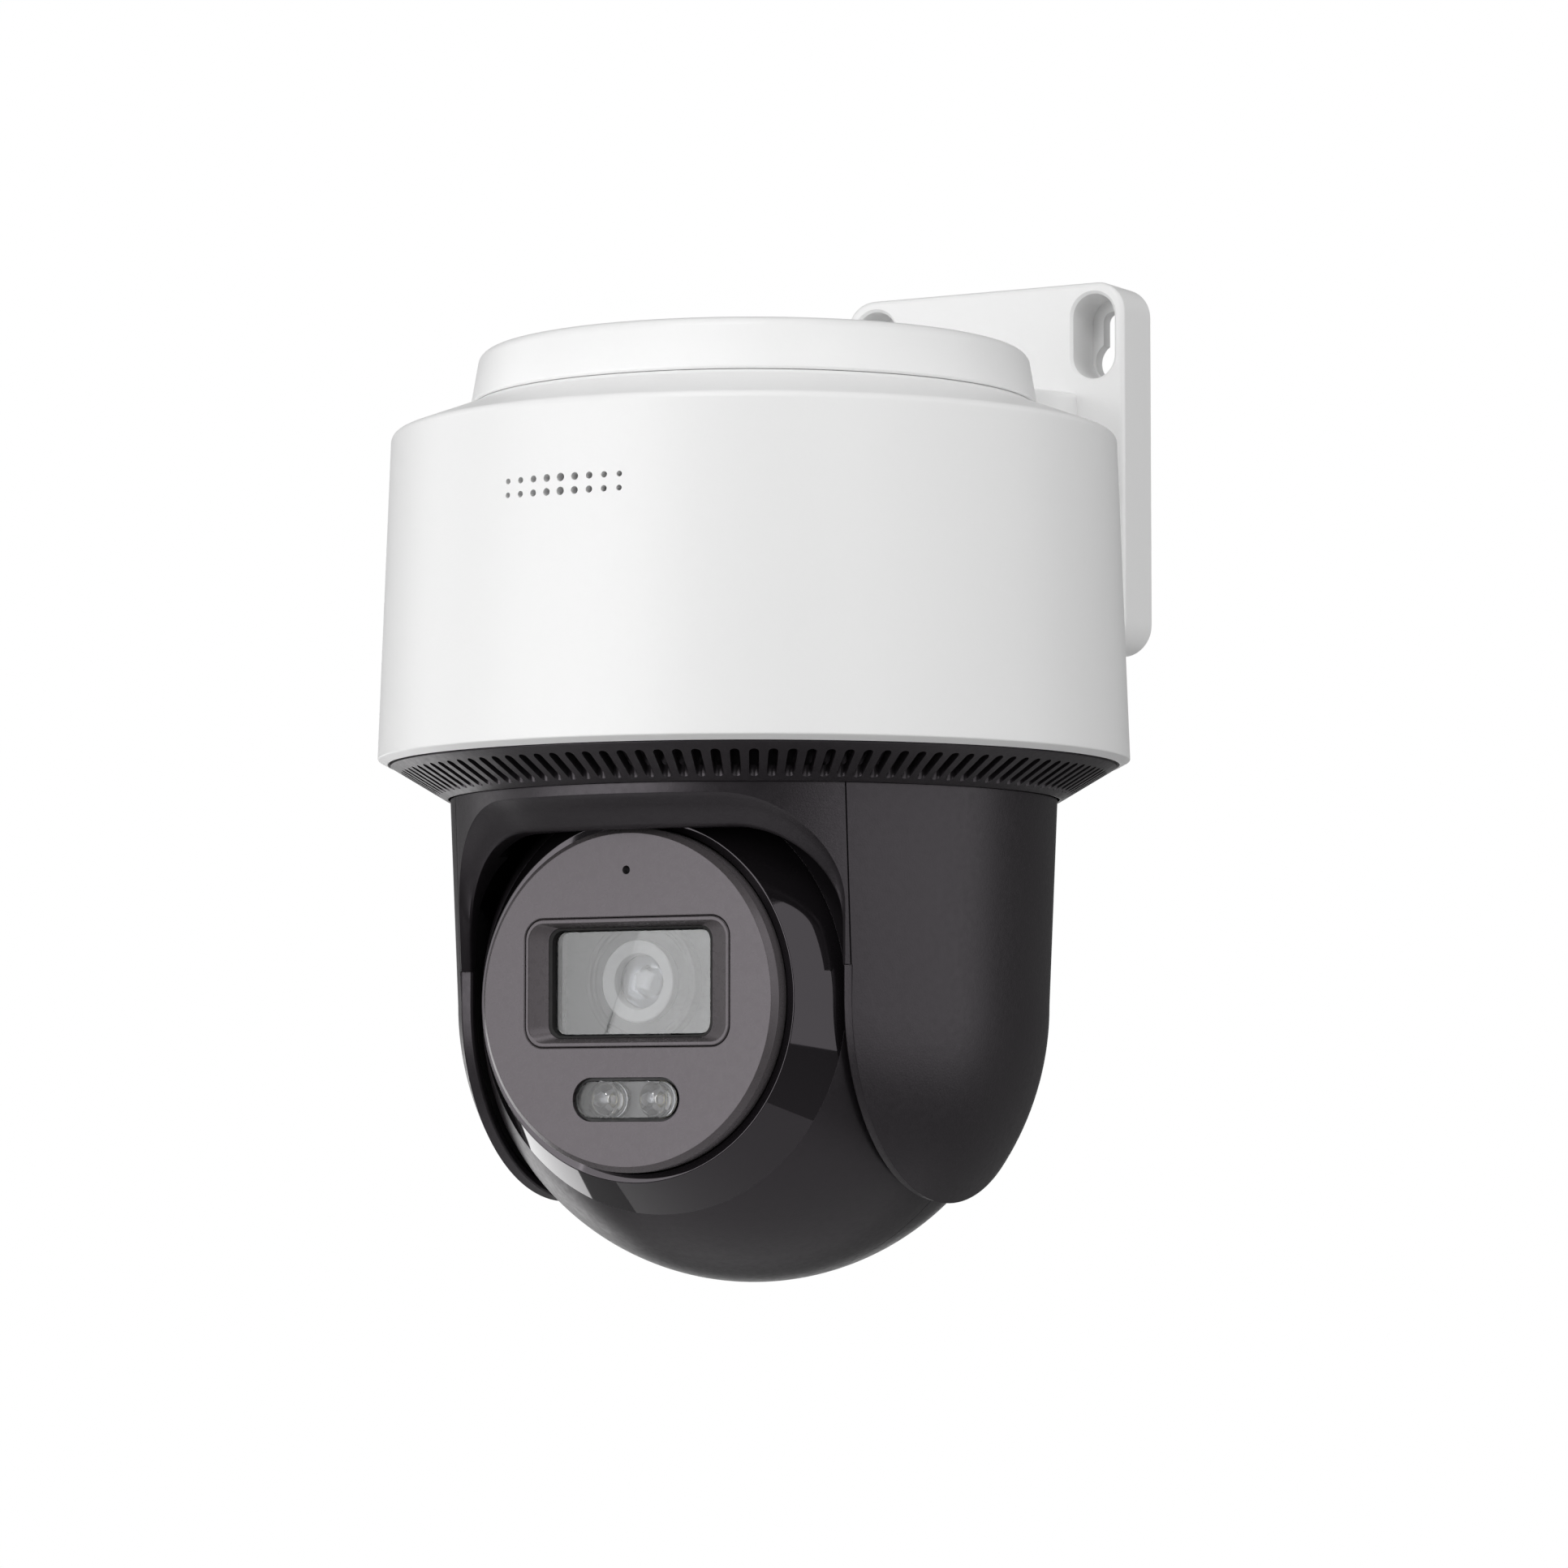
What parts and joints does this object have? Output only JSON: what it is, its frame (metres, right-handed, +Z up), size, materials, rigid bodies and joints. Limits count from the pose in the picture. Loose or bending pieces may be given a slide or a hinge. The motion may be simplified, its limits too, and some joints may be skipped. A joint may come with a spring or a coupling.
{
  "type": "ptz camera",
  "caption": "Wall-bracket pan-tilt-zoom camera: white drum, geared pan yoke and a tilting ball with lens window and light pill.",
  "frame": {"origin": "centre of the wall plate's back face, where the plate meets the wall", "axes": "+Y into the wall, +Z up along the pan axis, so the lens looks along -Y at rest"},
  "size_m": [0.1242, 0.1551, 0.1754],
  "materials": {
    "white_housing": "fine spark-eroded texture, satin",
    "charcoal_yoke": "fine grained, satin",
    "black_inner": "moulded, matte",
    "black_ball": "fine grained, matte",
    "gloss_collar": "polished piano black",
    "face_grey": "satin warm grey paint",
    "lens_ring_grey": "satin",
    "window_glass": "polished",
    "lens_glass": "coated",
    "rubber_black": "matte",
    "screw_steel": "satin",
    "machined_steel": "machined",
    "gear_acetal": "moulded",
    "pinion_brass": "machined",
    "circuit_board": "solder mask",
    "led_phosphor": "matte"
  },
  "bodies": {
    "base": {"wall_bracket": "white_housing", "cable_grommet": "rubber_black", "bracket_screws": "screw_steel", "drum_seal": "rubber_black", "drum_housing": "white_housing", "vent_ring": "black_inner", "base_chassis": "black_inner", "chassis_screws": "screw_steel", "speaker_driver": "black_inner", "main_board": "circuit_board", "board_screws": "screw_steel", "network_jack": "machined_steel", "pan_motor": "machined_steel", "pan_motor_screws": "screw_steel", "bearing_outer_ring": "machined_steel", "bearing_balls": "machined_steel"},
    "pan_drive": {"pan_pinion": "pinion_brass"},
    "pan_head": {"yoke_frame": "black_inner", "pan_gear": "gear_acetal", "pan_gear_screws": "screw_steel", "bearing_inner_ring": "machined_steel", "pan_retaining_ring": "machined_steel", "yoke_front_cover": "charcoal_yoke", "yoke_rear_cover": "charcoal_yoke", "side_cover_right": "charcoal_yoke", "side_cover_left": "charcoal_yoke", "cover_screws": "screw_steel", "tilt_motor": "machined_steel", "tilt_motor_screws": "screw_steel", "tilt_bush_right": "gear_acetal", "tilt_bush_left": "gear_acetal", "encoder_board": "circuit_board"},
    "tilt_drive": {"tilt_pinion": "pinion_brass"},
    "camera_ball": {"ball_front_shell": "black_ball", "ball_rear_shell": "black_ball", "ball_gasket": "rubber_black", "ball_screws": "screw_steel", "collar_ring": "gloss_collar", "face_plate": "face_grey", "window_bezel": "face_grey", "window_glass": "window_glass", "lens_barrel": "black_inner", "lens_retaining_ring": "lens_ring_grey", "lens_front_element": "lens_glass", "aperture_ring": "black_inner", "lens_rear_element": "lens_glass", "lens_holder": "black_inner", "image_sensor": "machined_steel", "sensor_board": "circuit_board", "led_board": "circuit_board", "led_emitters": "led_phosphor", "led_optics": "window_glass", "led_cover": "window_glass", "microphone": "machined_steel", "card_cover": "black_ball", "tilt_axle_right": "machined_steel", "tilt_axle_left": "machined_steel", "tilt_gear": "gear_acetal", "encoder_magnet": "machined_steel"}
  },
  "joints": [
    {"name": "pan", "type": "hinge", "parent": "base", "child": "pan_head", "pos_m": [0, -0.093, -0.047], "axis": [0, 0, 1], "range_deg": [-170, 170]},
    {"name": "tilt", "type": "hinge", "parent": "pan_head", "child": "camera_ball", "pos_m": [0, -0.093, -0.097], "axis": [1, 0, 0], "range_deg": [0, 90]},
    {"name": "pan_pinion_spin", "type": "hinge", "parent": "base", "child": "pan_drive", "pos_m": [0, -0.05, -0.047], "axis": [0, 0, 1], "range_deg": [-880, 880]},
    {"name": "tilt_pinion_spin", "type": "hinge", "parent": "pan_head", "child": "tilt_drive", "pos_m": [0.0374, -0.093, -0.0682], "axis": [1, 0, 0], "range_deg": [-380, 5]}
  ],
  "couplings": [
    {"joint": "pan_pinion_spin", "follows": "pan", "ratio": -5.1429},
    {"joint": "tilt_pinion_spin", "follows": "tilt", "ratio": -4.1429}
  ]
}
